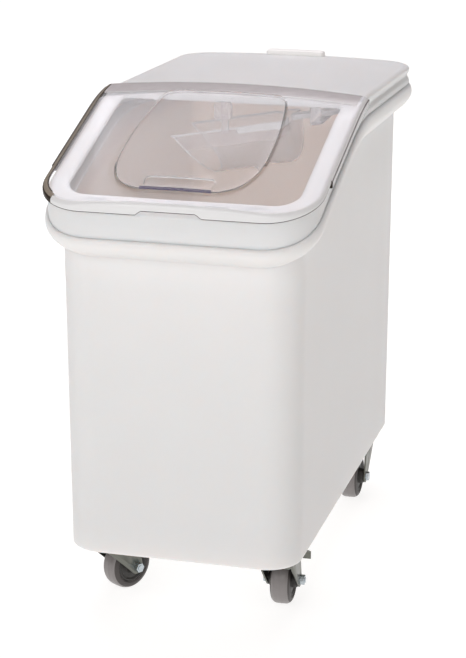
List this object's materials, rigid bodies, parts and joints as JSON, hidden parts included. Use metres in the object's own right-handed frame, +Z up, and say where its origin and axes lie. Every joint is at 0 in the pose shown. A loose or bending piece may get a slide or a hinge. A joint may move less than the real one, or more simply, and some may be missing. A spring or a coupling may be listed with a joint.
{
  "type": "rolling ingredient bin",
  "caption": "White rolling ingredient bin on four swivel casters, with a lift-off cover, a clear sliding lid over a sloped opening and a hung scoop.",
  "frame": {"origin": "on the floor under the middle of the bin", "axes": "+X to the right seen from the front, +Y from the sloped front to the back, +Z up"},
  "size_m": [0.407, 0.749, 0.7318],
  "materials": {
    "white_plastic": "smooth satin moulding",
    "stop_plastic": "satin moulding",
    "clear_plastic": "clear polished plastic",
    "grey_tread": "smooth grey tread",
    "grey_core": "moulded dark grey",
    "bearing_steel": "ground steel",
    "insert_brass": "turned brass",
    "zinc_steel": "bright zinc plate"
  },
  "bodies": {
    "bin": {"bin_body": "white_plastic", "plate_bolts": "zinc_steel", "threaded_inserts": "insert_brass", "front_left_plate": "zinc_steel", "front_left_kingpin": "zinc_steel", "front_right_plate": "zinc_steel", "front_right_kingpin": "zinc_steel", "rear_left_plate": "zinc_steel", "rear_left_kingpin": "zinc_steel", "rear_right_plate": "zinc_steel", "rear_right_kingpin": "zinc_steel"},
    "cover": {"top_cover": "white_plastic", "rear_stop": "stop_plastic", "rim_hook": "clear_plastic", "handle_hook": "clear_plastic"},
    "lid": {"sliding_lid": "clear_plastic"},
    "scoop": {"scoop": "clear_plastic"},
    "front_left_swivel": {"front_left_fork": "zinc_steel", "front_left_balls": "bearing_steel", "front_left_axle_bolt": "zinc_steel", "front_left_axle_nut": "zinc_steel", "front_left_axle_sleeve": "bearing_steel", "front_left_brake_pin": "zinc_steel"},
    "front_left_wheel": {"front_left_wheel_core": "grey_core", "front_left_wheel_tread": "grey_tread"},
    "front_left_brake": {"front_left_brake_pedal": "zinc_steel"},
    "front_right_swivel": {"front_right_fork": "zinc_steel", "front_right_balls": "bearing_steel", "front_right_axle_bolt": "zinc_steel", "front_right_axle_nut": "zinc_steel", "front_right_axle_sleeve": "bearing_steel", "front_right_brake_pin": "zinc_steel"},
    "front_right_wheel": {"front_right_wheel_core": "grey_core", "front_right_wheel_tread": "grey_tread"},
    "front_right_brake": {"front_right_brake_pedal": "zinc_steel"},
    "rear_left_swivel": {"rear_left_fork": "zinc_steel", "rear_left_balls": "bearing_steel", "rear_left_axle_bolt": "zinc_steel", "rear_left_axle_nut": "zinc_steel", "rear_left_axle_sleeve": "bearing_steel"},
    "rear_left_wheel": {"rear_left_wheel_core": "grey_core", "rear_left_wheel_tread": "grey_tread"},
    "rear_right_swivel": {"rear_right_fork": "zinc_steel", "rear_right_balls": "bearing_steel", "rear_right_axle_bolt": "zinc_steel", "rear_right_axle_nut": "zinc_steel", "rear_right_axle_sleeve": "bearing_steel"},
    "rear_right_wheel": {"rear_right_wheel_core": "grey_core", "rear_right_wheel_tread": "grey_tread"}
  },
  "joints": [
    {"name": "cover_lift", "type": "slide", "parent": "bin", "child": "cover", "axis": [0, 0, 1], "range_m": [0, 0.15]},
    {"name": "lid_slide", "type": "hinge", "parent": "cover", "child": "lid", "pos_m": [0, 0.126, -0.12], "axis": [-1, 0, 0], "range_deg": [0, 22.5]},
    {"name": "scoop_lift", "type": "slide", "parent": "cover", "child": "scoop", "axis": [0, 0, 1], "range_m": [0, 0.012]},
    {"name": "front_left_swivel_turn", "type": "hinge", "parent": "bin", "child": "front_left_swivel", "pos_m": [-0.1315, -0.27, 0.088], "axis": [0, 0, 1], "continuous": true},
    {"name": "front_left_wheel_spin", "type": "hinge", "parent": "front_left_swivel", "child": "front_left_wheel", "pos_m": [-0.11193, -0.23743, 0.0375], "axis": [0.8572, -0.515, 0], "continuous": true},
    {"name": "front_left_brake_press", "type": "hinge", "parent": "front_left_swivel", "child": "front_left_brake", "pos_m": [-0.09648, -0.21171, 0.0715], "axis": [-0.8572, 0.515, 0], "range_deg": [0, 15]},
    {"name": "front_right_swivel_turn", "type": "hinge", "parent": "bin", "child": "front_right_swivel", "pos_m": [0.1315, -0.27, 0.088], "axis": [0, 0, 1], "continuous": true},
    {"name": "front_right_wheel_spin", "type": "hinge", "parent": "front_right_swivel", "child": "front_right_wheel", "pos_m": [0.13017, -0.23202, 0.0375], "axis": [0.9994, 0.0349, 0], "continuous": true},
    {"name": "front_right_brake_press", "type": "hinge", "parent": "front_right_swivel", "child": "front_right_brake", "pos_m": [0.12913, -0.20204, 0.0715], "axis": [-0.9994, -0.0349, 0], "range_deg": [0, 15]},
    {"name": "rear_left_swivel_turn", "type": "hinge", "parent": "bin", "child": "rear_left_swivel", "pos_m": [-0.136, 0.25, 0.088], "axis": [0, 0, 1], "continuous": true},
    {"name": "rear_left_wheel_spin", "type": "hinge", "parent": "rear_left_swivel", "child": "rear_left_wheel", "pos_m": [-0.136, 0.212, 0.0375], "axis": [-1, 0, 0], "continuous": true},
    {"name": "rear_right_swivel_turn", "type": "hinge", "parent": "bin", "child": "rear_right_swivel", "pos_m": [0.136, 0.25, 0.088], "axis": [0, 0, 1], "continuous": true},
    {"name": "rear_right_wheel_spin", "type": "hinge", "parent": "rear_right_swivel", "child": "rear_right_wheel", "pos_m": [0.136, 0.212, 0.0375], "axis": [-1, 0, 0], "continuous": true}
  ]
}
